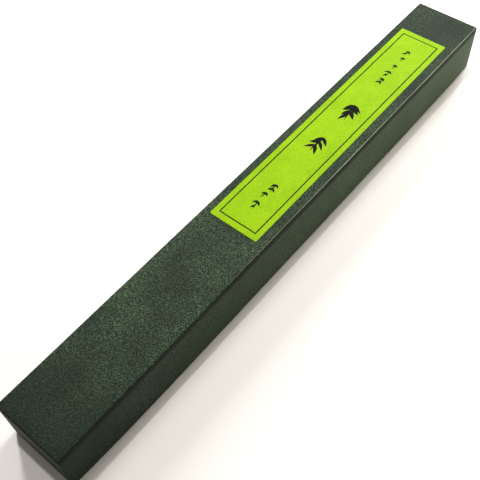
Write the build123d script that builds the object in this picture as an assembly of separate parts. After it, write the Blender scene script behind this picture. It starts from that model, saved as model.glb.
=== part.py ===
from build123d import *
import math
import os

# A long paper-covered box of incense sticks: a full-depth lid over a tray that holds a wrapped bundle.
# Millimetres. X runs along the box from the near end to the far end, Y across it, and Z up from the
# table. The origin is under the middle of the box, on the table.

# Box as it stands closed
box_length = 264.0
box_width = 31.0
box_height = 23.2
rim_gap = 0.4

# Sheet materials
board = 1.0
cover_paper = 0.2
stay_tape = 0.1
lining_paper = 0.15
base_paper = 0.15
label_paper = 0.12
thin_paper = 0.12

# Paper turned over the edges of the boards
hem_depth = 12.0
turned_under = 7.0
base_paper_inset = 2.5
lining_overlap = 6.0
stay_leg = 9.0

# Clearance between the lid's hem and the tray, on each side
lid_clearance = 0.35

# Label on the lid, a little nearer the back wall and well towards the far end
label_length = 138.0
label_width = 23.0
label_x = 41.7
label_y = 0.5

# Incense sticks, stacked in rows that nest in each other
stick_length = 245.0
stick_diameter = 2.0
stick_pitch = 2.1
sticks_in_wide_row = 11
stick_rows = 8
stick_clearance = 0.05

# Paper bands round the sticks, and the sheet folded round the bundle
band_width = 14.0
band_x = 70.0
wrapper_length = 232.0
wrapper_overlap = 13.0

# Lid, from the outside in
lid_board_length = box_length - 2 * cover_paper
lid_board_width = box_width - 2 * cover_paper
lid_inner_length = lid_board_length - 2 * board
lid_inner_width = lid_board_width - 2 * board
lid_board_top = box_height - cover_paper
lid_ceiling = lid_board_top - board
lid_board_bottom = rim_gap + cover_paper

# Tray, from the outside in. Its rim meets the underside of the lid's top board.
tray_length = lid_inner_length - 2 * (cover_paper + lid_clearance)
tray_width = lid_inner_width - 2 * (cover_paper + lid_clearance)
tray_board_length = tray_length - 2 * cover_paper
tray_board_width = tray_width - 2 * cover_paper
tray_inner_length = tray_board_length - 2 * board
tray_inner_width = tray_board_width - 2 * board
tray_rim = lid_ceiling
tray_board_top = tray_rim - cover_paper
tray_board_bottom = base_paper + cover_paper
tray_floor = tray_board_bottom + board
tray_hem_bottom = tray_rim - hem_depth
lining_top = tray_hem_bottom + lining_overlap
lined_floor = tray_floor + lining_paper

# Bundle, from the lining up and from the sticks out
row_rise = stick_pitch * math.sin(math.radians(60))
sticks_width = (sticks_in_wide_row - 1) * stick_pitch + stick_diameter
sticks_height = (stick_rows - 1) * row_rise + stick_diameter
band_inner_width = sticks_width + 2 * stick_clearance
band_bottom = lined_floor + thin_paper
sticks_bottom = band_bottom + thin_paper + stick_clearance
band_top = sticks_bottom + sticks_height + stick_clearance + thin_paper
band_outer_width = band_inner_width + 2 * thin_paper
wrapper_width = band_outer_width + 2 * thin_paper
wrapper_top = band_top + thin_paper


def block(length, width, low, high, x=0.0, y=0.0):
    # A box centred on x and y between two heights.
    return Pos(x, y, (low + high) / 2) * Box(length, width, high - low)


def ring(length, width, wall, low, high):
    # A rectangular sleeve, open at both ends.
    return block(length, width, low, high) - block(length - 2 * wall, width - 2 * wall, low, high)


def side_board(length, width, low, high, side):
    # A long wall along one edge of the outline: side is -1 at the front and 1 at the back.
    return block(length, board, low, high, y=side * (width - board) / 2)


def end_board(length, width, low, high, end):
    # A short wall that fits between the side boards: end is -1 at the near end and 1 at the far end.
    return block(board, width - 2 * board, low, high, x=end * (length - board) / 2)


def corner_stays(length, width, low, high):
    # Four strips of tape, each folded round one upright corner of the boards.
    sleeve = ring(length + 2 * stay_tape, width + 2 * stay_tape, stay_tape, low, high)
    strips = []
    for end in (-1, 1):
        for side in (-1, 1):
            corner = block(2 * stay_leg, 2 * stay_leg, low, high, end * length / 2, side * width / 2)
            strips += (sleeve & corner).solids()
    return Compound(strips)


def lid_walls_height():
    return lid_board_bottom, lid_ceiling


def lid_wrap_paper():
    # One sheet over the top and down the walls, folded round the rim and pasted up inside as a hem.
    outside = block(box_length, box_width, rim_gap, box_height)
    skin = outside - block(lid_board_length, lid_board_width, rim_gap, lid_board_top)
    rim = ring(lid_board_length, lid_board_width, board + cover_paper, rim_gap, lid_board_bottom)
    hem = ring(lid_inner_length, lid_inner_width, cover_paper, rim_gap, rim_gap + hem_depth)
    return skin + rim + hem - corner_stays(lid_board_length, lid_board_width, *lid_walls_height())


def lid_label():
    return block(label_length, label_width, box_height, box_height + label_paper, label_x, label_y)


def tray_wall_paper():
    # A strip round the walls, folded over the rim as a hem and turned under the base board.
    skin = ring(tray_length, tray_width, cover_paper, base_paper, tray_rim)
    rim = ring(tray_board_length, tray_board_width, board + cover_paper, tray_board_top, tray_rim)
    hem = ring(tray_inner_length, tray_inner_width, cover_paper, tray_hem_bottom, tray_rim)
    under = ring(tray_length, tray_width, turned_under, base_paper, tray_board_bottom)
    stays = corner_stays(tray_board_length, tray_board_width, tray_floor, tray_board_top)
    return skin + rim + hem + under - stays


def tray_base_paper():
    # A flat sheet over the turned edges, set in a little from the outline.
    inset = 2 * base_paper_inset
    return block(tray_length - inset, tray_width - inset, 0, base_paper)


def tray_lining_paper():
    # White paper on the floor and up the walls, lapping over the lower half of the hem.
    lap_length = tray_inner_length - 2 * cover_paper
    lap_width = tray_inner_width - 2 * cover_paper
    step = tray_hem_bottom - lining_paper
    outside = block(tray_inner_length, tray_inner_width, tray_floor, tray_hem_bottom)
    outside += block(lap_length, lap_width, tray_hem_bottom, lining_top)
    thickness = 2 * lining_paper
    hollow = block(tray_inner_length - thickness, tray_inner_width - thickness, lined_floor, step)
    hollow += block(lap_length - thickness, lap_width - thickness, step, lining_top)
    return outside - hollow


def incense_sticks():
    # Rows of rods along X, alternately wide and one short, each row in the grooves of the one below.
    rods = []
    for row in range(stick_rows):
        count = sticks_in_wide_row - row % 2
        z = sticks_bottom + stick_diameter / 2 + row * row_rise
        for place in range(count):
            y = (place - (count - 1) / 2) * stick_pitch
            rods.append(Pos(0, y, z) * Rot(0, 90, 0) * Cylinder(stick_diameter / 2, stick_length))
    return Compound([rod.solid() for rod in rods])


def sleeve_along_x(length, width, wall, low, high, x=0.0):
    # A flat tube of paper round the bundle, open at both ends.
    return block(length, width, low, high, x) - block(length, width - 2 * wall, low + wall, high - wall, x)


def bundle_bands():
    bands = [
        sleeve_along_x(band_width, band_outer_width, thin_paper, band_bottom, band_top, end * band_x)
        for end in (-1, 1)
    ]
    return Compound([band.solid() for band in bands])


def bundle_wrapper():
    # One thin sheet folded round the bundle, with its free edge lapped over the top.
    tube = sleeve_along_x(wrapper_length, wrapper_width, thin_paper, lined_floor, wrapper_top)
    lap_y = (wrapper_overlap - wrapper_width) / 2
    lap = block(wrapper_length, wrapper_overlap, wrapper_top, wrapper_top + thin_paper, y=lap_y)
    return tube + lap


def make_parts():
    lid = (lid_board_length, lid_board_width, *lid_walls_height())
    tray = (tray_board_length, tray_board_width, tray_floor, tray_board_top)
    return {
        "lid_top_board": block(lid_board_length, lid_board_width, lid_ceiling, lid_board_top),
        "lid_front_side_board": side_board(*lid, -1),
        "lid_back_side_board": side_board(*lid, 1),
        "lid_near_end_board": end_board(*lid, -1),
        "lid_far_end_board": end_board(*lid, 1),
        "lid_corner_stays": corner_stays(*lid),
        "lid_wrap_paper": lid_wrap_paper(),
        "lid_label": lid_label(),
        "tray_base_board": block(tray_board_length, tray_board_width, tray_board_bottom, tray_floor),
        "tray_front_side_board": side_board(*tray, -1),
        "tray_back_side_board": side_board(*tray, 1),
        "tray_near_end_board": end_board(*tray, -1),
        "tray_far_end_board": end_board(*tray, 1),
        "tray_corner_stays": corner_stays(*tray),
        "tray_wall_paper": tray_wall_paper(),
        "tray_base_paper": tray_base_paper(),
        "tray_lining_paper": tray_lining_paper(),
        "incense_sticks": incense_sticks(),
        "bundle_bands": bundle_bands(),
        "bundle_wrapper": bundle_wrapper(),
    }


os.makedirs("parts", exist_ok=True)
for node, shape in make_parts().items():
    export_step(shape, f"parts/{node}.step")
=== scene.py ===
import bmesh
import bpy
import math
import random
from mathutils import Matrix, Vector, noise


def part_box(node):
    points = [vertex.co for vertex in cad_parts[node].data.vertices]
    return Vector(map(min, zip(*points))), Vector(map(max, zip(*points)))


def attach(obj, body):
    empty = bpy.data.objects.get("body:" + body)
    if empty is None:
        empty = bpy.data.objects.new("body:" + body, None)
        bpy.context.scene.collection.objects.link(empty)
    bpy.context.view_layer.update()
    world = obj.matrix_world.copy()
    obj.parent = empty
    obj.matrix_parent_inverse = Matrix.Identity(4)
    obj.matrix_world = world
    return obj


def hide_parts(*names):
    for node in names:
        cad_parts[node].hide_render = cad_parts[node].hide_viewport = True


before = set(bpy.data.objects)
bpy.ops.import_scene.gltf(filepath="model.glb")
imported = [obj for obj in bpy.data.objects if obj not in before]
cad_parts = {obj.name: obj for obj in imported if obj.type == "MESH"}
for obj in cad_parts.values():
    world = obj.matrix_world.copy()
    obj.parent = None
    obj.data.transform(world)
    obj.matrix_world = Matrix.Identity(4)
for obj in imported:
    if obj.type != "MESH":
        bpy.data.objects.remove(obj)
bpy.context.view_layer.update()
mm = 0.001
near = 0.05 * mm       # closer than this counts as level
clear = 1 * mm         # no cut across a sheet comes nearer than this to its folds
facing = 0.9           # a face or an edge points the way that holds this share of its direction
boxLow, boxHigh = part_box("lid_wrap_paper")
print("frame loaded")


def deselect():
    if bpy.context.object and bpy.context.object.mode != "OBJECT":
        bpy.ops.object.mode_set(mode="OBJECT")
    bpy.ops.object.select_all(action="DESELECT")


def startBox(name, low, high):
    deselect()
    centre = [(a + b) / 2 for a, b in zip(low, high)]
    size = [b - a for a, b in zip(low, high)]
    bpy.ops.mesh.primitive_cube_add(size=1, location=centre, scale=size)
    piece = bpy.context.object
    piece.name = name
    bpy.ops.object.transform_apply(location=True, rotation=True, scale=True)
    return piece


def pick(piece, kind, test):
    # selects the faces, edges or corners that pass the test, given their middle and themselves
    bpy.ops.object.mode_set(mode="EDIT")
    bpy.ops.mesh.select_mode(type=kind)
    bpy.ops.mesh.select_all(action="DESELECT")
    mesh = bmesh.from_edit_mesh(piece.data)
    for part in {"FACE": mesh.faces, "EDGE": mesh.edges, "VERT": mesh.verts}[kind]:
        corners = [part.co] if kind == "VERT" else [corner.co for corner in part.verts]
        part.select_set(test(sum(corners, Vector()) / len(corners), part))
    bmesh.update_edit_mesh(piece.data)


def isUpright(edge):
    run = edge.verts[0].co - edge.verts[1].co
    return abs(run.z) > facing * run.length


def isAlongBox(edge):
    run = edge.verts[0].co - edge.verts[1].co
    return abs(run.x) > facing * run.length


def isTurn(edge):
    # where a level face meets an upright one
    return len({abs(face.normal.z) > 0.5 for face in edge.link_faces}) > 1


def cutAcross(piece, axis, places):
    bpy.ops.object.mode_set(mode="EDIT")
    for place in places:
        bpy.ops.mesh.select_all(action="SELECT")
        where = [place if i == axis else 0 for i in range(3)]
        bpy.ops.mesh.bisect(plane_co=where, plane_no=[float(i == axis) for i in range(3)])
    bpy.ops.object.mode_set(mode="OBJECT")


def evenly(low, high, step):
    # places between two limits, about a step apart, without the limits themselves
    count = max(2, round((high - low) / step))
    return [low + (high - low) * i / count for i in range(1, count)]


def nudge(piece, move):
    if piece.mode != "OBJECT":
        bpy.ops.object.mode_set(mode="OBJECT")
    for corner in piece.data.vertices:
        corner.co += move(corner.co.copy())


def applyModifier(piece, kind, **settings):
    deselect()
    piece.select_set(True)
    bpy.context.view_layer.objects.active = piece
    modifier = piece.modifiers.new(kind.title(), kind)
    for name, value in settings.items():
        setattr(modifier, name, value)
    bpy.ops.object.modifier_apply(modifier=modifier.name)


def joinAll(pieces):
    deselect()
    for piece in pieces:
        piece.select_set(True)
    bpy.context.view_layer.objects.active = pieces[0]
    if len(pieces) > 1:
        bpy.ops.object.join()
    return pieces[0]


def fixNormals(piece, inside=False):
    deselect()
    bpy.context.view_layer.objects.active = piece
    bpy.ops.object.mode_set(mode="EDIT")
    bpy.ops.mesh.select_all(action="SELECT")
    bpy.ops.mesh.normals_make_consistent(inside=inside)
    bpy.ops.object.mode_set(mode="OBJECT")


def finishPiece(piece, body, material, replaced=(), smoothAngle=40):
    deselect()
    piece.select_set(True)
    bpy.context.view_layer.objects.active = piece
    bpy.ops.object.shade_smooth_by_angle(angle=math.radians(smoothAngle))
    piece.data.materials.clear()
    piece.data.materials.append(material)
    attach(piece, body)
    if replaced:
        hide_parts(*replaced)
    print("made", piece.name, len(piece.data.polygons), "faces")


lid = {
    "foldRadius": 0.6 * mm,
    "rimRadius": 0.22 * mm,
    "wall": 1.4 * mm,          # board with paper on both sides
    "hem": 12 * mm,
    "paper": 0.16 * mm,
    "crush": 0.6 * mm,         # how far the boards' outer corners are crushed under the paper
    "bow": 1.05 * mm,          # how far the long walls spring outwards at the rim
    "bowSharpness": 6,
    "bowDrop": 1.4,            # over 1, the walls spring outwards faster towards the rim
    "ripple": 0.05 * mm,
    "rippleSize": 18 * mm,
    "rippleSeed": 7,           # with no seed the ripples would differ each run
    "step": 4 * mm,            # between the cuts along and across the paper, and up its walls
    "stepUp": 2.5 * mm,
}
noise.seed_set(lid["rippleSeed"])


def hexColour(code):
    channels = [int(code[i:i + 2], 16) / 255 for i in (1, 3, 5)]
    return [c / 12.92 if c <= 0.04045 else ((c + 0.055) / 1.055) ** 2.4 for c in channels] + [1]


def perSize(millimetres):
    # the texture scale that gives features of this size
    return 1 / (millimetres * mm)


def addNode(tree, kind, settings=None, links=None):
    # a word names a setting or a socket, and a number is a socket's place. A Mix takes its amount
    # in 0, and mixes numbers in 2 and 3 into output 0, or colours in 6 and 7 into output 2
    node = tree.nodes.new(kind)
    for name, value in (settings or {}).items():
        if isinstance(name, str) and hasattr(node, name):
            setattr(node, name, value)
        else:
            node.inputs[name].default_value = value
    for name, source in (links or {}).items():
        tree.links.new(source, node.inputs[name])
    return node


def newMaterial(name, roughness, specular):
    material = bpy.data.materials.new(name)
    material.use_nodes = True
    tree = material.node_tree
    shader = tree.nodes["Principled BSDF"]
    shader.inputs["Roughness"].default_value = roughness
    shader.inputs["Specular IOR Level"].default_value = specular
    place = addNode(tree, "ShaderNodeTexCoord").outputs["Object"]
    return material, tree, place


def finishMaterial(material, colour, height, depth, bump, roughness=None):
    # joins the colour, the relief, whose depth is in mm, and any changing roughness to the shader
    tree = material.node_tree
    shader = tree.nodes["Principled BSDF"]
    relief = addNode(tree, "ShaderNodeBump", {"Distance": depth * mm, "Strength": bump},
                     {"Height": height})
    tree.links.new(colour, shader.inputs["Base Color"])
    tree.links.new(relief.outputs["Normal"], shader.inputs["Normal"])
    if roughness:
        tree.links.new(roughness, shader.inputs["Roughness"])
    return material


embossedPaper = {
    # painted shade in the grooves
    "paintedGrooveShade": "#141d16",
    "body": "#202d20",
    # painted highlight on the specks, and painted light on the walls
    "paintedHighlight": "#586f53",
    # painted highlight along the crest of the front fold
    "paintedCrestHighlight": "#8a9a7e",
    # painted shade in a band just below the crest
    "paintedFoldShade": "#0d110d",
    "roughness": 0.55,
    "specular": 0.1,
    "wrinkleSize": 0.9,        # mm, the small irregular wrinkles of the embossing roll
    "netSize": 1.8,            # in wrinkles, the cells of the net that they form
    "warpSize": 3,             # in wrinkles, how often the net strays, and how far
    "warpReach": 1.2,
    "netTurn": {"Rotation": (0.2, 0.1, 0.9), "Scale": (1.0, 2.2, 1.6)},
    "fleckSize": 0.38,         # mm, the raised specks, painted lighter as highlights
    "fleckSpacing": 1.6,       # in flecks
    "patchSize": 22.0,         # mm, patches where the painted highlights show more or less
    # shifted so that a weak patch darkens the near end: painted shade
    "patchShift": (0.043, 0.012, 0.0),
    "crests": {"From Min": 0.02, "From Max": 0.35},
    "flecks": {"From Min": 0.50, "From Max": 0.585},
    "patches": {"From Min": 0.35, "From Max": 0.65, "To Min": 0.4, "To Max": 1.0},
    # the embossing is pressed flatter towards both ends, and there the painted highlights fade, leaving
    # the near end darker as painted shade
    "nearEnd": {"From Min": -125 * mm, "From Max": -75 * mm, "To Min": 0.2, "To Max": 1.0},
    "farEnd": {"From Min": 40 * mm, "From Max": 120 * mm, "To Min": 1.0, "To Max": 0.5},
    # on the walls the mottling is evened out, and painted light makes them lighter towards the far end
    "walls": {"From Min": boxHigh.z - 1.6 * mm, "From Max": boxHigh.z - 0.8 * mm,
              "To Min": 0.55, "To Max": 0.0},
    "paintedWallLight": {"From Min": -110 * mm, "From Max": 120 * mm, "To Min": 0.05, "To Max": 0.72},
    # painted highlight along the crest of the lid's front fold, stronger towards the label's end
    "crestAcross": {"From Min": boxHigh.y - lid["foldRadius"] - 0.1 * mm,
                    "From Max": boxHigh.y - lid["foldRadius"] + 0.1 * mm},
    "crestUp": {"From Min": boxHigh.z - 0.12 * mm, "From Max": boxHigh.z - 0.02 * mm},
    "crestAlong": {"From Min": -50 * mm, "From Max": 30 * mm, "To Max": 0.85},
    # just below the crest, over the board's edge, a smooth dark band of painted shade
    "foldShadeFrom": {"From Min": boxHigh.z - 3.2 * mm, "From Max": boxHigh.z - 2.4 * mm, "To Max": 0.85},
    "foldShadeTo": {"From Min": boxHigh.z - 0.2 * mm, "From Max": boxHigh.z - 0.08 * mm,
                "To Min": 1.0, "To Max": 0.0},
    "gloss": {"To Min": 0.72, "To Max": 0.52},
    "fleckHeight": 0.6,        # a speck's height as a share of a wrinkle's
    "depth": 0.10,             # mm
    "bump": 0.8,
}


def makeEmbossedPaper():
    # dyed cover paper run through an embossing roll: a leather-like net of wrinkles
    # with painted shade in its grooves and painted highlights on its specks
    s = embossedPaper
    material, tree, place = newMaterial("embossedCoverPaper", s["roughness"], s["specular"])
    warp = addNode(tree, "ShaderNodeTexNoise",
                   {"Scale": perSize(s["warpSize"] * s["wrinkleSize"]), "Detail": 2.0},
                   {"Vector": place})
    shift = addNode(tree, "ShaderNodeVectorMath",
                    {"operation": "SCALE", "Scale": s["warpReach"] * s["wrinkleSize"] * mm},
                    {0: warp.outputs["Color"]})
    bent = addNode(tree, "ShaderNodeVectorMath", {"operation": "ADD"},
                   {0: place, 1: shift.outputs[0]})
    turned = addNode(tree, "ShaderNodeMapping", s["netTurn"], {"Vector": bent.outputs[0]})
    net = addNode(tree, "ShaderNodeTexVoronoi",
                  {"feature": "DISTANCE_TO_EDGE", "Scale": perSize(s["netSize"] * s["wrinkleSize"])},
                  {"Vector": turned.outputs[0]})
    flecks = addNode(tree, "ShaderNodeTexNoise",
                     {"Scale": perSize(s["fleckSpacing"] * s["fleckSize"]), "Detail": 3.0,
                      "Roughness": 0.6},
                     {"Vector": turned.outputs[0]})
    drift = addNode(tree, "ShaderNodeMapping", {"Location": s["patchShift"]}, {"Vector": place})
    patches = addNode(tree, "ShaderNodeTexNoise",
                      {"Scale": perSize(s["patchSize"]), "Detail": 2.0},
                      {"Vector": drift.outputs[0]})
    apart = addNode(tree, "ShaderNodeSeparateXYZ", links={"Vector": place})
    along, up = apart.outputs["X"], apart.outputs["Z"]
    forwards = addNode(tree, "ShaderNodeMath", {"operation": "MULTIPLY", 1: -1.0},
                       {0: apart.outputs["Y"]})
    # how much of each effect a point has, by the range of that name in the settings
    sources = {
        "crests": net.outputs["Distance"], "flecks": flecks.outputs["Fac"],
        "patches": patches.outputs["Fac"], "nearEnd": along, "farEnd": along,
        "walls": up, "paintedWallLight": along,
        "crestAcross": forwards.outputs[0], "crestUp": up, "crestAlong": along,
        "foldShadeFrom": up, "foldShadeTo": up, "gloss": flecks.outputs["Fac"],
    }
    amount = {}
    for name, source in sources.items():
        node = addNode(tree, "ShaderNodeMapRange", s[name], {"Value": source})
        amount[name] = node.outputs[0]
    for name, first, second in (("patchy", "flecks", "patches"), ("relief", "nearEnd", "farEnd"),
                                ("lit", "patchy", "relief"), ("crest", "crestAcross", "crestUp"),
                                ("paintedCrestHighlight", "crest", "crestAlong"),
                                ("paintedFoldShade", "foldShadeFrom", "foldShadeTo")):
        node = addNode(tree, "ShaderNodeMath", {"operation": "MULTIPLY"},
                       {0: amount[first], 1: amount[second]})
        amount[name] = node.outputs[0]
    # on the walls the painted highlight colour follows the painted wall light, rising towards the far end
    node = addNode(tree, "ShaderNodeMix", {"data_type": "FLOAT"},
                   {0: amount["walls"], 2: amount["lit"], 3: amount["paintedWallLight"]})
    amount["paintedHighlight"] = node.outputs[0]
    # painted shade in the grooves, the body colour on the raised cells
    ground = addNode(tree, "ShaderNodeMix",
                     {"data_type": "RGBA", 6: hexColour(s["paintedGrooveShade"]), 7: hexColour(s["body"])},
                     {0: amount["crests"]})
    colour = ground.outputs[2]
    # painted highlights, painted shade below the crest and the painted crest highlight go over it in turn
    for name in ("paintedHighlight", "paintedFoldShade", "paintedCrestHighlight"):
        over = addNode(tree, "ShaderNodeMix", {"data_type": "RGBA", 7: hexColour(s[name])},
                       {0: amount[name], 6: colour})
        colour = over.outputs[2]
    height = addNode(tree, "ShaderNodeMath", {"operation": "MULTIPLY_ADD", 1: s["fleckHeight"]},
                     {0: flecks.outputs["Fac"], 2: amount["crests"]})
    pressed = addNode(tree, "ShaderNodeMath", {"operation": "MULTIPLY"},
                      {0: height.outputs[0], 1: amount["relief"]})
    return finishMaterial(material, colour, pressed.outputs[0], s["depth"], s["bump"], amount["gloss"])


pulp = {
    "specular": 0.07,
    "felt": {"Detail": 5.0, "Roughness": 0.65, "Distortion": 0.6},
    "cloudSize": 12,           # in fibres
    "cloudShare": 0.4,
    "mottle": {"From Min": 0.5, "From Max": 0.95},
}


def makePulpPaper(name, base, fibre, fibreSize, roughness, depth, bump=0.5, lean=(1.0, 1.0, 1.0)):
    # uncoated paper or board: a felt of short fibres gives a fine mottling and a soft tooth
    material, tree, place = newMaterial(name, roughness, pulp["specular"])
    stretched = addNode(tree, "ShaderNodeMapping", {"Scale": lean}, {"Vector": place})
    felt = addNode(tree, "ShaderNodeTexNoise", {"Scale": perSize(fibreSize), **pulp["felt"]},
                   {"Vector": stretched.outputs[0]})
    cloud = addNode(tree, "ShaderNodeTexNoise",
                    {"Scale": perSize(pulp["cloudSize"] * fibreSize), "Detail": 2.0},
                    {"Vector": place})
    both = addNode(tree, "ShaderNodeMath", {"operation": "MULTIPLY_ADD", 1: pulp["cloudShare"]},
                   {0: cloud.outputs["Fac"], 2: felt.outputs["Fac"]})
    amount = addNode(tree, "ShaderNodeMapRange", pulp["mottle"], {"Value": both.outputs[0]})
    colour = addNode(tree, "ShaderNodeMix",
                     {"data_type": "RGBA", 6: hexColour(base), 7: hexColour(fibre)},
                     {0: amount.outputs[0]})
    return finishMaterial(material, colour.outputs[2], felt.outputs["Fac"], depth, bump)


incensePaste = {
    "shades": ("#3a2a1c", "#5b4730"),
    "grains": "#7d6647",
    "roughness": 0.85,
    "specular": 0.3,
    "grainSize": 0.35,         # mm
    "dragSize": 0.4,
    "tintSize": 2.4,
    "drawnOut": (0.03, 1.0, 1.0),
    "grainShare": 0.5,
    "contrast": {"From Min": 0.55, "From Max": 1.0},
    "depth": 0.05,
    "bump": 0.7,
}


def makeIncense():
    # extruded wood-powder paste, dried: fine grains, with drag lines along the stick from the die
    s = incensePaste
    material, tree, place = newMaterial("extrudedIncensePaste", s["roughness"], s["specular"])
    grains = addNode(tree, "ShaderNodeTexNoise",
                     {"Scale": perSize(s["grainSize"]), "Detail": 4.0, "Roughness": 0.7},
                     {"Vector": place})
    along = addNode(tree, "ShaderNodeMapping", {"Scale": s["drawnOut"]}, {"Vector": place})
    drag = addNode(tree, "ShaderNodeTexNoise", {"Scale": perSize(s["dragSize"]), "Detail": 2.0},
                   {"Vector": along.outputs[0]})
    tint = addNode(tree, "ShaderNodeTexNoise", {"Scale": perSize(s["tintSize"]), "Detail": 0.0},
                   {"Vector": along.outputs[0]})
    both = addNode(tree, "ShaderNodeMath", {"operation": "MULTIPLY_ADD", 1: s["grainShare"]},
                   {0: grains.outputs["Fac"], 2: drag.outputs["Fac"]})
    amount = addNode(tree, "ShaderNodeMapRange", s["contrast"], {"Value": both.outputs[0]})
    dark, brown = (hexColour(shade) for shade in s["shades"])
    paste = addNode(tree, "ShaderNodeMix", {"data_type": "RGBA", 6: dark, 7: brown},
                    {0: tint.outputs["Fac"]})
    colour = addNode(tree, "ShaderNodeMix", {"data_type": "RGBA", 7: hexColour(s["grains"])},
                     {0: amount.outputs[0], 6: paste.outputs[2]})
    return finishMaterial(material, colour.outputs[2], both.outputs[0], s["depth"], s["bump"])


tissuePaper = {
    "shades": ("#e6dfcd", "#f4efe2"),
    "hairs": "#fbf8ee",
    "roughness": 0.75,
    "specular": 0.3,
    "straySize": 9.0,          # mm, how often and how far the hairs stray
    "hairSpacing": 3.0,
    "cloudSize": 2.5,
    "hairTurn": {"Scale": (0.25, 1.6, 1.0), "Rotation": (0, 0, 0.4)},
    "hairEdge": {"From Min": 0.0, "From Max": 0.05, "To Min": 0.8, "To Max": 0.0},
    "depth": 0.04,
    "bump": 0.6,
}


def makeTissue():
    # thin long-fibred wrapping paper: pale sheet with scattered long hairs of bark fibre
    s = tissuePaper
    material, tree, place = newMaterial("longFibredTissue", s["roughness"], s["specular"])
    bent = addNode(tree, "ShaderNodeTexNoise", {"Scale": perSize(s["straySize"]), "Detail": 1.0},
                   {"Vector": place})
    shift = addNode(tree, "ShaderNodeVectorMath",
                    {"operation": "SCALE", "Scale": s["straySize"] * mm},
                    {0: bent.outputs["Color"]})
    swept = addNode(tree, "ShaderNodeVectorMath", {"operation": "ADD"},
                    {0: place, 1: shift.outputs[0]})
    stretched = addNode(tree, "ShaderNodeMapping", s["hairTurn"], {"Vector": swept.outputs[0]})
    hairs = addNode(tree, "ShaderNodeTexVoronoi",
                    {"feature": "DISTANCE_TO_EDGE", "Scale": perSize(s["hairSpacing"])},
                    {"Vector": stretched.outputs[0]})
    hair = addNode(tree, "ShaderNodeMapRange", s["hairEdge"], {"Value": hairs.outputs["Distance"]})
    cloud = addNode(tree, "ShaderNodeTexNoise", {"Scale": perSize(s["cloudSize"]), "Detail": 3.0},
                    {"Vector": place})
    cream, white = (hexColour(shade) for shade in s["shades"])
    sheet = addNode(tree, "ShaderNodeMix", {"data_type": "RGBA", 6: cream, 7: white},
                    {0: cloud.outputs["Fac"]})
    colour = addNode(tree, "ShaderNodeMix", {"data_type": "RGBA", 7: hexColour(s["hairs"])},
                     {0: hair.outputs[0], 6: sheet.outputs[2]})
    return finishMaterial(material, colour.outputs[2], hair.outputs[0], s["depth"], s["bump"])


coverPaper = makeEmbossedPaper()
chipboard = makePulpPaper("greyChipboard", base="#a29a8a", fibre="#c9c2b2", fibreSize=0.5,
                          roughness=0.9, depth=0.05, lean=(0.5, 1, 1))
stayTape = makePulpPaper("gummedKraftTape", base="#9c7646", fibre="#c29a64", fibreSize=0.4,
                         roughness=0.7, depth=0.02)
labelStock = makePulpPaper("limeLabelPaper", base="#7eaa02", fibre="#9bc50d", fibreSize=0.8,
                           roughness=0.6, depth=0.015, bump=0.4)
liningPaper = makePulpPaper("whiteLiningPaper", base="#e3dfd4", fibre="#f3f0e8", fibreSize=0.7,
                            roughness=0.8, depth=0.02)
bandPaper = makePulpPaper("creamBandPaper", base="#ddd2b4", fibre="#efe7cf", fibreSize=0.6,
                          roughness=0.7, depth=0.02, lean=(1, 0.4, 1))
basePaper = makePulpPaper("darkGreenBasePaper", base="#2f3b31", fibre="#465546", fibreSize=0.6,
                          roughness=0.7, depth=0.03)
pressInk = makePulpPaper("blackPressInk", base="#060805", fibre="#0d110a", fibreSize=0.5,
                         roughness=0.7, depth=0.005)
incense = makeIncense()
tissue = makeTissue()
print("materials made")


def springOut(place):
    # the top and the ends hold the long walls straight, and between them the walls spring outwards
    along = 1 - abs(place.x / boxHigh.x) ** lid["bowSharpness"]
    down = max(0.0, (boxHigh.z - place.z) / (boxHigh.z - boxLow.z)) ** lid["bowDrop"]
    side = max(-1.0, min(1.0, place.y / (boxHigh.y - 2 * lid["wall"])))
    return Vector((0, lid["bow"] * max(0.0, along) * down * side, 0))


def ripple(place, size, depth):
    return depth * noise.noise_vector(place / size)


def isFold(middle, edge):
    return isUpright(edge) or middle.z > boxHigh.z - near


def makeLidPaper():
    low, high = boxLow, boxHigh
    piece = startBox("lidCoverPaper", low, high)
    pick(piece, "FACE", lambda middle, face: face.normal.z < -facing)
    bpy.ops.mesh.delete(type="FACE")
    pick(piece, "EDGE", isFold)
    bpy.ops.mesh.bevel(offset=lid["foldRadius"], segments=4, profile=0.5, affect="EDGES")
    # the rim turns in under the board, and the hem goes up inside
    pick(piece, "EDGE", lambda middle, edge: edge.is_boundary)
    bpy.ops.mesh.extrude_edges_move()
    inwards = (1 - lid["wall"] / high.x, 1 - lid["wall"] / high.y, 1)
    bpy.ops.transform.resize(value=inwards, center_override=(0, 0, low.z))
    bpy.ops.mesh.extrude_edges_move(TRANSFORM_OT_translate={"value": (0, 0, lid["hem"])})
    pick(piece, "EDGE", lambda middle, edge: abs(middle.z - low.z) < near and isTurn(edge))
    bpy.ops.mesh.bevel(offset=lid["rimRadius"], segments=2, profile=0.5, affect="EDGES")
    cutAcross(piece, 0, evenly(low.x + clear, high.x - clear, lid["step"]))
    cutAcross(piece, 1, evenly(low.y + clear, high.y - clear, lid["step"]))
    cutAcross(piece, 2, evenly(low.z + clear, high.z - clear, lid["stepUp"]))
    fixNormals(piece)
    applyModifier(piece, "SOLIDIFY", thickness=lid["paper"], offset=-1)
    flaps = [makeEndFlap(end) for end in (-1, 1)]
    piece = joinAll([piece] + flaps)
    nudge(piece, lambda place: springOut(place) + ripple(place, lid["rippleSize"], lid["ripple"]))
    finishPiece(piece, "lid", coverPaper, ["lid_wrap_paper"])


endFlap = {
    "margin": 0.9 * mm,       # from the upright corner to the flap's cut edge
    "proud": 0.12 * mm,
    "sunk": 0.25 * mm,
    "narrowing": 0.8 * mm,    # on each side, from its fold down to the rim
    "settling": 1.5,          # how far its top end goes back under the fold, in times proud
    "settlingPower": 3,
    "step": 3 * mm,
}


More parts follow.
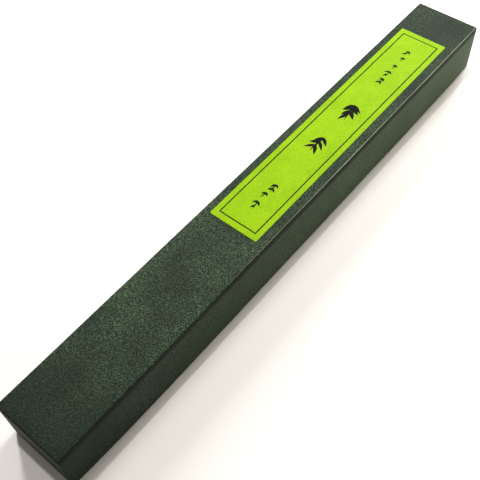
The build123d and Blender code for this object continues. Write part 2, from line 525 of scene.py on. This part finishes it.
def makeEndFlap(end):
    # the sheet's end flap comes down over the side flaps, and its cut edges stand proud
    face = boxHigh.x
    low = (face - endFlap["sunk"], boxLow.y + endFlap["margin"], boxLow.z + lid["rimRadius"])
    high = (face + endFlap["proud"], boxHigh.y - endFlap["margin"], boxHigh.z - lid["foldRadius"])
    flap = startBox("endFlap", low, high)
    cutAcross(flap, 1, evenly(low[1], high[1], endFlap["step"]))
    cutAcross(flap, 2, evenly(low[2], high[2], endFlap["step"]))
    reach = high[2] - low[2]

    def settle(place):
        up = (place.z - low[2]) / reach
        back = endFlap["proud"] * endFlap["settling"] * up ** endFlap["settlingPower"]
        return Vector((-back, -math.copysign(endFlap["narrowing"] * (1 - up), place.y), 0))

    nudge(flap, settle)
    if end < 0:
        nudge(flap, lambda place: Vector((-2 * place.x, 0, 0)))
        fixNormals(flap)
    return flap


def makeLidBoards():
    # pressing the paper round them crushes the boards' outer corners a little
    low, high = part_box("lid_top_board")
    board = startBox("lidTopBoard", low, high)
    pick(board, "EDGE", lambda middle, edge: isUpright(edge) or middle.z > high.z - near)
    bpy.ops.mesh.bevel(offset=lid["crush"], segments=3, affect="EDGES")
    finishPiece(board, "lid", chipboard, ["lid_top_board"])
    for name, node in (("lidFrontBoard", "lid_front_side_board"), ("lidBackBoard", "lid_back_side_board")):
        low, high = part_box(node)
        outside = max(low.y, high.y, key=abs)
        board = startBox(name, low, high)
        pick(board, "EDGE", lambda middle, edge: isUpright(edge) and abs(middle.y - outside) < near)
        bpy.ops.mesh.bevel(offset=lid["crush"], segments=3, affect="EDGES")
        cutAcross(board, 0, evenly(low.x + clear, high.x - clear, lid["step"]))
        cutAcross(board, 2, evenly(low.z + clear, high.z - clear, lid["stepUp"]))
        nudge(board, springOut)
        finishPiece(board, "lid", chipboard, [node])


stay = {
    "leg": 9 * mm,
    "tape": 0.09 * mm,
    "bend": 0.7 * mm,
    "step": 2 * mm,
    "stepUp": 2.5 * mm,
}


def makeStays(name, node, body, move=None):
    # four strips of tape, each bent round an upright corner of the boards
    low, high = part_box(node)
    strips = []
    for end in (-1, 1):
        for side in (-1, 1):
            edge = Vector((end * high.x, side * high.y, 0))
            inner = Vector((end * (high.x - stay["leg"]), side * (high.y - stay["leg"]), 0))
            first = [min(a, b) for a, b in zip(edge, inner)]
            last = [max(a, b) for a, b in zip(edge, inner)]
            strip = startBox("cornerStay", (first[0], first[1], low.z), (last[0], last[1], high.z))
            pick(strip, "FACE", lambda middle, face: abs(face.normal.z) > facing
                 or face.normal.x * end < -facing or face.normal.y * side < -facing)
            bpy.ops.mesh.delete(type="FACE")
            pick(strip, "EDGE", lambda middle, seam: isUpright(seam) and not seam.is_boundary)
            bpy.ops.mesh.bevel(offset=stay["bend"], segments=3, affect="EDGES")
            cutAcross(strip, 0, evenly(first[0], last[0], stay["step"]))
            cutAcross(strip, 2, evenly(low.z, high.z, stay["stepUp"]))
            applyModifier(strip, "SOLIDIFY", thickness=stay["tape"], offset=-1)
            strips.append(strip)
    stays = joinAll(strips)
    stays.name = name
    fixNormals(stays)
    if move:
        nudge(stays, move)
    finishPiece(stays, body, stayTape, [node])


label = {
    "cornerRadius": 0.35 * mm,
    "edgeRadius": 0.03 * mm,
    "step": 5 * mm,
    "borderIn": (2.75 * mm, 2.35 * mm),   # from the label's ends and sides to the printed border
    "line": 0.5 * mm,
    "ink": 0.02 * mm,
}


def makeLabel():
    low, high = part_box("lid_label")
    piece = startBox("labelPaper", low, high)
    pick(piece, "EDGE", lambda middle, edge: isUpright(edge))
    bpy.ops.mesh.bevel(offset=label["cornerRadius"], segments=3, affect="EDGES")
    pick(piece, "EDGE", lambda middle, edge: middle.z > high.z - near and not isUpright(edge))
    bpy.ops.mesh.bevel(offset=label["edgeRadius"], segments=1, affect="EDGES")
    cutAcross(piece, 0, evenly(low.x + clear, high.x - clear, label["step"]))
    cutAcross(piece, 1, evenly(low.y + clear, high.y - clear, label["step"]))
    nudge(piece, lambda place: ripple(place, lid["rippleSize"], lid["ripple"]))
    finishPiece(piece, "lid", labelStock, ["lid_label"])


def inkFilm(piece):
    # the flat print gets its thickness and lies on the label's own ripples
    applyModifier(piece, "SOLIDIFY", thickness=label["ink"], offset=1)
    fixNormals(piece)
    nudge(piece, lambda place: ripple(place, lid["rippleSize"], lid["ripple"]))
    finishPiece(piece, "lid", pressInk)


def makeBorder():
    low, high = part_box("lid_label")
    inX, inY = label["borderIn"]
    deselect()
    middle = ((low.x + high.x) / 2, (low.y + high.y) / 2, high.z)
    bpy.ops.mesh.primitive_plane_add(size=1, location=middle)
    piece = bpy.context.object
    piece.name = "printedBorder"
    piece.scale = (high.x - low.x - 2 * inX, high.y - low.y - 2 * inY, 1)
    bpy.ops.object.transform_apply(location=True, rotation=True, scale=True)
    pick(piece, "FACE", lambda centre, face: True)
    bpy.ops.mesh.inset(thickness=label["line"])
    bpy.ops.mesh.delete(type="FACE")
    cutAcross(piece, 0, evenly(low.x + inX + clear, high.x - inX - clear, label["step"]))
    inkFilm(piece)


sprigs = {
    # for each printed bamboo sprig, in mm: how far it is from the label's near end and how long,
    # and how many leaves it has
    "printed": [(13.7, 4.6, 3), (19.3, 4.2, 2), (24.6, 4.6, 4), (54.1, 10.4, 6), (77.2, 10.8, 7),
                (101.7, 4.6, 4), (107.3, 4.4, 3), (112.7, 3.8, 2), (118.9, 3.6, 2), (123.9, 3.8, 3)],
    "stem": (0.055, 0.1),      # width of the stem and of a leaf, as shares of the sprig's length
    "leafLength": 0.5,
    "leafLeast": 0.34,         # mm added to a leaf's width: the brush can't press thinner
    "stemLeast": 0.15,
    "stray": 0.05,             # across the label, as a share of the sprig's length
    "stemBend": 0.08,
    "lean": 0.2,               # radians either side of straight
    "nodes": (0.06, 0.5),      # where the first leaves hang from the stem, and how far the others spread
    "leafAngle": (0.6, 1.1),   # radians from the stem
    "longer": (0.8, 1.1),      # how leaves differ in length and in width
    "wider": (0.85, 1.15),
    "leafBend": (0.05, 0.15),
    "swell": 1.7,
    "swellPower": 0.6,
    "seed": 5,
}


def brushLeaf(place, angle, length, width, bend):
    # one press of the brush: it lands narrow, swells and lifts off to a point
    deselect()
    bpy.ops.mesh.primitive_circle_add(vertices=26, radius=0.5, fill_type="NGON", location=(0, 0, 0))
    leaf = bpy.context.object

    def shape(corner):
        along = corner.x + 0.5
        swell = sprigs["swell"] * max(0.0, 1 - along) ** sprigs["swellPower"]
        target = Vector((along * length, corner.y * width * swell + bend * along ** 2, 0))
        return target - corner

    nudge(leaf, shape)
    turn = Matrix.Rotation(angle, 4, "Z")
    turn.translation = place
    leaf.data.transform(turn)
    return leaf


def makeSprigs():
    # a bamboo twig for each mark: leaves hang in pairs from the nodes of a thin stem
    s = sprigs
    low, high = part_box("lid_label")
    draw = random.Random(s["seed"])
    across = (low.y + high.y) / 2
    leaves = []
    for along, length, count in s["printed"]:
        size = length * mm
        stray = draw.uniform(-s["stray"], s["stray"]) * size
        top = Vector((low.x + along * mm + size / 2, across + stray, high.z))
        lean = math.pi + draw.uniform(-s["lean"], s["lean"])
        down = Vector((math.cos(lean), math.sin(lean), 0))
        thin, wide = (share * size for share in s["stem"])
        bend = draw.uniform(-s["stemBend"], s["stemBend"]) * size
        leaves.append(brushLeaf(top, lean, size, thin + s["stemLeast"] * mm, bend))
        first, spread = s["nodes"]
        for leaf in range(count):
            node = top + down * size * (first + spread * (leaf // 2) / max(1, (count - 1) // 2))
            side = 1 if leaf % 2 else -1
            angle = lean + side * draw.uniform(*s["leafAngle"])
            length = size * s["leafLength"] * draw.uniform(*s["longer"])
            width = (wide + s["leafLeast"] * mm) * draw.uniform(*s["wider"])
            bend = -side * draw.uniform(*s["leafBend"]) * length
            leaves.append(brushLeaf(node, angle, length, width, bend))
    piece = joinAll(leaves)
    piece.name = "printedSprigs"
    inkFilm(piece)


tray = {
    "foldRadius": 0.4 * mm,
    "rimRadius": 0.3 * mm,
    "wall": 1.4 * mm,
    "hem": 12 * mm,
    "under": 7 * mm,
    "paper": 0.16 * mm,
    "ripple": 0.04 * mm,
    "clear": 2 * mm,          # no cut along the tray comes nearer than this to its ends
    "stepUp": 3 * mm,
}


def makeTrayPaper():
    low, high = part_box("tray_wall_paper")
    piece = startBox("trayWallPaper", low, high)
    pick(piece, "FACE", lambda middle, face: abs(face.normal.z) > facing)
    bpy.ops.mesh.delete(type="FACE")
    pick(piece, "EDGE", lambda middle, edge: isUpright(edge))
    bpy.ops.mesh.bevel(offset=tray["foldRadius"], segments=3, affect="EDGES")
    pick(piece, "EDGE", lambda middle, edge: middle.z > high.z - near)
    bpy.ops.mesh.extrude_edges_move()
    inwards = (1 - tray["wall"] / high.x, 1 - tray["wall"] / high.y, 1)
    bpy.ops.transform.resize(value=inwards, center_override=(0, 0, high.z))
    bpy.ops.mesh.extrude_edges_move(TRANSFORM_OT_translate={"value": (0, 0, -tray["hem"])})
    pick(piece, "EDGE", lambda middle, edge: middle.z < low.z + near)
    bpy.ops.mesh.extrude_edges_move()
    inwards = (1 - tray["under"] / high.x, 1 - tray["under"] / high.y, 1)
    bpy.ops.transform.resize(value=inwards, center_override=(0, 0, low.z))
    pick(piece, "EDGE", lambda middle, edge: isTurn(edge))
    bpy.ops.mesh.bevel(offset=tray["rimRadius"], segments=2, profile=0.5, affect="EDGES")
    cutAcross(piece, 0, evenly(low.x + tray["clear"], high.x - tray["clear"], lid["step"]))
    cutAcross(piece, 2, evenly(low.z + clear, high.z - clear, tray["stepUp"]))
    fixNormals(piece)
    applyModifier(piece, "SOLIDIFY", thickness=tray["paper"], offset=-1)
    nudge(piece, lambda place: ripple(place, lid["rippleSize"], tray["ripple"]))
    finishPiece(piece, "tray", coverPaper, ["tray_wall_paper"])


baseSheet = {
    "corner": 1.2 * mm,
    "lift": 0.14 * mm,        # how far it is pressed up inside the turned edges, and over what width
    "slope": 0.6 * mm,
    "step": 8 * mm,
}


def makeBasePaper():
    low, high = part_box("tray_base_paper")
    piece = startBox("trayBasePaper", low, high)
    pick(piece, "EDGE", lambda middle, edge: isUpright(edge))
    bpy.ops.mesh.bevel(offset=baseSheet["corner"], segments=4, affect="EDGES")
    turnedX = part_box("tray_wall_paper")[1].x - tray["under"]
    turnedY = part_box("tray_wall_paper")[1].y - tray["under"]
    slope = baseSheet["slope"]
    cutAcross(piece, 0, [-turnedX, -turnedX + slope, turnedX - slope, turnedX])
    cutAcross(piece, 0, evenly(-turnedX + slope, turnedX - slope, baseSheet["step"]))
    cutAcross(piece, 1, [-turnedY, -turnedY + slope, 0, turnedY - slope, turnedY])

    def pressUp(place):
        inside = min((turnedX - abs(place.x)) / slope, (turnedY - abs(place.y)) / slope)
        return Vector((0, 0, baseSheet["lift"] * max(0.0, min(1.0, inside))))

    nudge(piece, pressUp)
    finishPiece(piece, "tray", basePaper, ["tray_base_paper"])


lining = {
    "fold": 0.8 * mm,
    "thickness": 0.14 * mm,
    "over": 0.2 * mm,         # how far it stands in where it laps over the hem, and how high that step is
    "overStep": 0.4 * mm,
    "wallZone": 0.5 * mm,     # what is nearer than this to the outside is on a wall
}


def makeLining():
    low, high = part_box("tray_lining_paper")
    piece = startBox("trayLining", low, high)
    pick(piece, "FACE", lambda middle, face: face.normal.z > facing)
    bpy.ops.mesh.delete(type="FACE")
    pick(piece, "EDGE", lambda middle, edge: not edge.is_boundary)
    bpy.ops.mesh.bevel(offset=lining["fold"], segments=3, affect="EDGES")
    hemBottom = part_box("tray_wall_paper")[1].z - tray["hem"]
    cutAcross(piece, 2, [hemBottom - lining["overStep"], hemBottom])
    cutAcross(piece, 0, evenly(low.x + tray["clear"], high.x - tray["clear"], lid["step"]))
    cutAcross(piece, 1, evenly(low.y + tray["clear"], high.y - tray["clear"], lid["step"]))
    cutAcross(piece, 2, evenly(low.z + clear, hemBottom - clear, tray["stepUp"]))
    fixNormals(piece, inside=True)    # the lining is seen from within
    applyModifier(piece, "SOLIDIFY", thickness=lining["thickness"], offset=1)

    def lap(place):
        # above the hem's lower edge the lining lies over the hem
        if place.z < hemBottom - lining["overStep"] / 2:
            return ripple(place, lid["rippleSize"], tray["ripple"])
        move = Vector()
        for axis in (0, 1):
            if abs(place[axis]) > high[axis] - lining["wallZone"]:
                move[axis] = -math.copysign(lining["over"], place[axis])
        return move

    nudge(piece, lap)
    finishPiece(piece, "tray", liningPaper, ["tray_lining_paper"])


stick = {
    "radius": 0.98 * mm,
    "length": 245 * mm,
    "lengthSpread": 0.9 * mm,
    "pitch": 2.1 * mm,
    "wideRow": 11,
    "rows": 8,
    "drift": 0.5 * mm,         # how far a stick has slid along the bundle
    "bend": 0.05 * mm,
    "bendSize": 60 * mm,
    "rubbedEnd": 0.15 * mm,
    "step": 30 * mm,
    "seed": 3,
}


def makeSticks():
    low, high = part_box("incense_sticks")
    draw = random.Random(stick["seed"])
    deselect()
    bpy.ops.mesh.primitive_cylinder_add(vertices=12, radius=stick["radius"], depth=stick["length"],
                                        rotation=(0, math.pi / 2, 0))
    model = bpy.context.object
    bpy.ops.object.transform_apply(location=True, rotation=True, scale=True)
    pick(model, "EDGE", lambda middle, edge: not isAlongBox(edge))
    bpy.ops.mesh.bevel(offset=stick["rubbedEnd"], segments=1, affect="EDGES")
    cutAcross(model, 0, evenly(-stick["length"] / 2, stick["length"] / 2, stick["step"]))
    sticks = []
    rise = stick["pitch"] * math.sin(math.radians(60))    # each row nests in the one below
    for row in range(stick["rows"]):
        count = stick["wideRow"] - row % 2
        for place in range(count):
            rod = model.copy()
            rod.data = model.data.copy()
            bpy.context.collection.objects.link(rod)
            stretch = 1 + draw.uniform(-1, 1) * stick["lengthSpread"] / stick["length"]
            drift = draw.uniform(-stick["drift"], stick["drift"])
            turn = draw.uniform(0, math.tau)
            centre = Vector((drift, (place - (count - 1) / 2) * stick["pitch"],
                             low.z + stick["pitch"] / 2 + row * rise))
            phase = draw.uniform(0, math.tau)
            rod.data.transform(Matrix.Translation(centre) @ Matrix.Rotation(turn, 4, "X")
                               @ Matrix.Diagonal((stretch, 1, 1, 1)))
            for corner in rod.data.vertices:
                sway = stick["bend"] * math.sin(corner.co.x / stick["bendSize"] + phase)
                corner.co += Vector((0, sway * math.cos(turn), 0))
            sticks.append(rod)
    bpy.data.objects.remove(model)
    piece = joinAll(sticks)
    piece.name = "incenseSticks"
    finishPiece(piece, "bundle", incense, ["incense_sticks"], 50)


def paperTube(name, low, high, paper):
    # paper drawn round the bundle: a tube along it with soft corners, open at both ends
    tube = startBox(name, low, high)
    pick(tube, "FACE", lambda middle, face: abs(face.normal.x) > facing)
    bpy.ops.mesh.delete(type="FACE")
    pick(tube, "EDGE", lambda middle, edge: isAlongBox(edge))
    bpy.ops.mesh.bevel(offset=paper["radius"], segments=5, affect="EDGES")
    cutAcross(tube, 0, evenly(low[0], high[0], paper["step"]))
    fixNormals(tube)
    applyModifier(tube, "SOLIDIFY", thickness=paper["thickness"], offset=-1)
    return tube


band = {
    "width": 14 * mm,
    "reach": 70 * mm,          # from the middle of the bundle to the middle of each band
    "radius": 0.9 * mm,
    "thickness": 0.1 * mm,
    "step": 3.5 * mm,
}


def makeBands():
    low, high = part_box("bundle_bands")
    bands = []
    for end in (-1, 1):
        start = (end * band["reach"] - band["width"] / 2, low.y, low.z)
        stop = (end * band["reach"] + band["width"] / 2, high.y, high.z)
        bands.append(paperTube("band", start, stop, band))
    piece = joinAll(bands)
    piece.name = "bundleBands"
    finishPiece(piece, "bundle", bandPaper, ["bundle_bands"])


wrapper = {
    "radius": 1.2 * mm,
    "thickness": 0.1 * mm,
    "step": 4 * mm,
    "ribStep": 0.7 * mm,
    "lap": 13 * mm,
    "lapStep": 1 * mm,
    "lapRoom": 0.12 * mm,      # left above the tube for the lap that lies on it
    "curl": 0.35 * mm,         # how far the lap's edge lifts and wanders
    "curlPower": 5,
    "wander": 0.4 * mm,
    "wanderSize": 31 * mm,
    "wanderPower": 4,
    "crumple": 0.16 * mm,
    "crumpleSize": 9 * mm,
    "slack": 0.6,              # the share of the crumple that the sticks inside leave
    "halfHeight": 8 * mm,      # above it the paper can only sink, and below it only rise
    "rib": 0.05 * mm,          # how far the paper sinks between the sticks under it
    "ribZone": 1 * mm,
}


def makeWrapper():
    s = wrapper
    low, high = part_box("bundle_wrapper")
    topSheet = high.z - s["lapRoom"]
    tube = paperTube("bundleWrapper", low, (high.x, high.y, topSheet), s)
    cutAcross(tube, 1, evenly(low.y + s["radius"], high.y - s["radius"], s["ribStep"]))
    flap = startBox("lap", (low.x, low.y + s["radius"], topSheet),
                    (high.x, low.y + s["lap"], topSheet + s["thickness"]))
    cutAcross(flap, 0, evenly(low.x, high.x, s["step"]))
    cutAcross(flap, 1, evenly(low.y + s["radius"], low.y + s["lap"], s["lapStep"]))

    def curlUp(place):
        across = (place.y - low.y) / s["lap"]
        wander = s["wander"] * math.sin(place.x / s["wanderSize"]) * across ** s["wanderPower"]
        return Vector((wander, 0, s["curl"] * across ** s["curlPower"]))

    nudge(flap, curlUp)
    piece = joinAll([tube, flap])

    def crease(place):
        loose = ripple(place, s["crumpleSize"], s["crumple"])
        loose.y = min(0.0, loose.y) if place.y > 0 else max(0.0, loose.y)
        loose.z = -abs(loose.z) if place.z > low.z + s["halfHeight"] else abs(loose.z)
        onTop = place.z > high.z - s["ribZone"] and abs(place.y) < high.y - s["radius"]
        sink = s["rib"] * abs(math.sin(math.pi * place.y / stick["pitch"])) if onTop else 0
        return loose * s["slack"] - Vector((0, 0, sink))

    nudge(piece, crease)
    finishPiece(piece, "bundle", tissue, ["bundle_wrapper"])


makeLidPaper()
makeLidBoards()
makeStays("lidCornerStays", "lid_corner_stays", "lid", springOut)
makeLabel()
makeBorder()
makeSprigs()
makeTrayPaper()
makeStays("trayCornerStays", "tray_corner_stays", "tray")
makeBasePaper()
makeLining()
makeSticks()
makeBands()
makeWrapper()

# these boards keep their plain shape
plainBoards = ("lid_near_end_board", "lid_far_end_board", "tray_base_board", "tray_front_side_board",
               "tray_back_side_board", "tray_near_end_board", "tray_far_end_board")
for node in plainBoards:
    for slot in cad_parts[node].material_slots:
        slot.material = chipboard
print("boards covered")


studio = {
    "floor": "#f2f1ef",
    "floorSize": 6.0,
    "floorRoughness": 0.7,
    "floorSpecular": 0.3,
    "room": "#ebe3d9",
    # the room is darker on the camera's side than on the side that this points to
    "roomSide": (0.45, 0.89, 0.0),
    "roomStrength": {"From Min": -0.7, "From Max": 0.5, "To Min": 0.14, "To Max": 0.42},
    # name, place, width and height, power and colour of each light
    "lights": [
        ("overheadLamp", (0.03, 0.22, 1.30), (0.05, 0.05), 4.9, "#fffaf4"),
        ("sideStripLamp", (0.50, 1.038, 0.828), (0.16, 0.6), 13.2, "#fffdfb"),
        ("backSoftbox", (0.692, 0.08, 0.493), (0.22, 0.2), 5.8, "#ffffff"),
        ("endSoftbox", (0.80, -0.34, 0.15), (0.16, 0.16), 6.3, "#fff0dc"),
    ],
}
camera = {
    "place": (-0.1463, -0.1149, 0.2481),
    "heading": 43.24,          # degrees from +X towards +Y
    "down": 54.67,
    "roll": -4.28,
    "lens": 54.54,
    "sensor": 36,
    "clipStart": 0.01,
}


def makeFloor():
    deselect()
    bpy.ops.mesh.primitive_plane_add(size=studio["floorSize"], location=(0, 0, 0))
    floor = bpy.context.object
    floor.name = "studioFloor"
    # matte card: even and dull, so that it shows only the shadows
    material, tree, place = newMaterial("matteWhiteCard", studio["floorRoughness"],
                                        studio["floorSpecular"])
    tree.nodes["Principled BSDF"].inputs["Base Color"].default_value = hexColour(studio["floor"])
    floor.data.materials.append(material)


def addSoftbox(name, place, size, power, colour):
    light = bpy.data.lights.new(name, "AREA")
    light.shape = "RECTANGLE"
    light.size, light.size_y = size
    light.energy = power
    light.color = hexColour(colour)[:3]
    lamp = bpy.data.objects.new(name, light)
    bpy.context.collection.objects.link(lamp)
    lamp.location = place
    lamp.rotation_euler = (-Vector(place)).to_track_quat("-Z", "Y").to_euler()


def makeLights():
    for light in studio["lights"]:
        addSoftbox(*light)
    world = bpy.data.worlds.new("room")
    world.use_nodes = True
    tree = world.node_tree
    sky = tree.nodes["Background"]
    sky.inputs["Color"].default_value = hexColour(studio["room"])
    towards = addNode(tree, "ShaderNodeTexCoord").outputs["Generated"]
    side = addNode(tree, "ShaderNodeVectorMath",
                   {"operation": "DOT_PRODUCT", 1: studio["roomSide"]}, {0: towards})
    strength = addNode(tree, "ShaderNodeMapRange", studio["roomStrength"],
                       {"Value": side.outputs["Value"]})
    tree.links.new(strength.outputs[0], sky.inputs["Strength"])
    bpy.context.scene.world = world


def makeCamera():
    data = bpy.data.cameras.new("camera")
    data.lens = camera["lens"]
    data.sensor_width = camera["sensor"]
    data.clip_start = camera["clipStart"]
    eye = bpy.data.objects.new("camera", data)
    bpy.context.collection.objects.link(eye)
    turn = (Matrix.Rotation(math.radians(camera["heading"] - 90), 4, "Z")
            @ Matrix.Rotation(math.radians(90 - camera["down"]), 4, "X")
            @ Matrix.Rotation(math.radians(camera["roll"]), 4, "Z"))
    eye.matrix_world = Matrix.Translation(camera["place"]) @ turn
    bpy.context.scene.camera = eye


makeFloor()
makeLights()
makeCamera()
bpy.context.scene.view_settings.view_transform = "Standard"
print("studio set up")
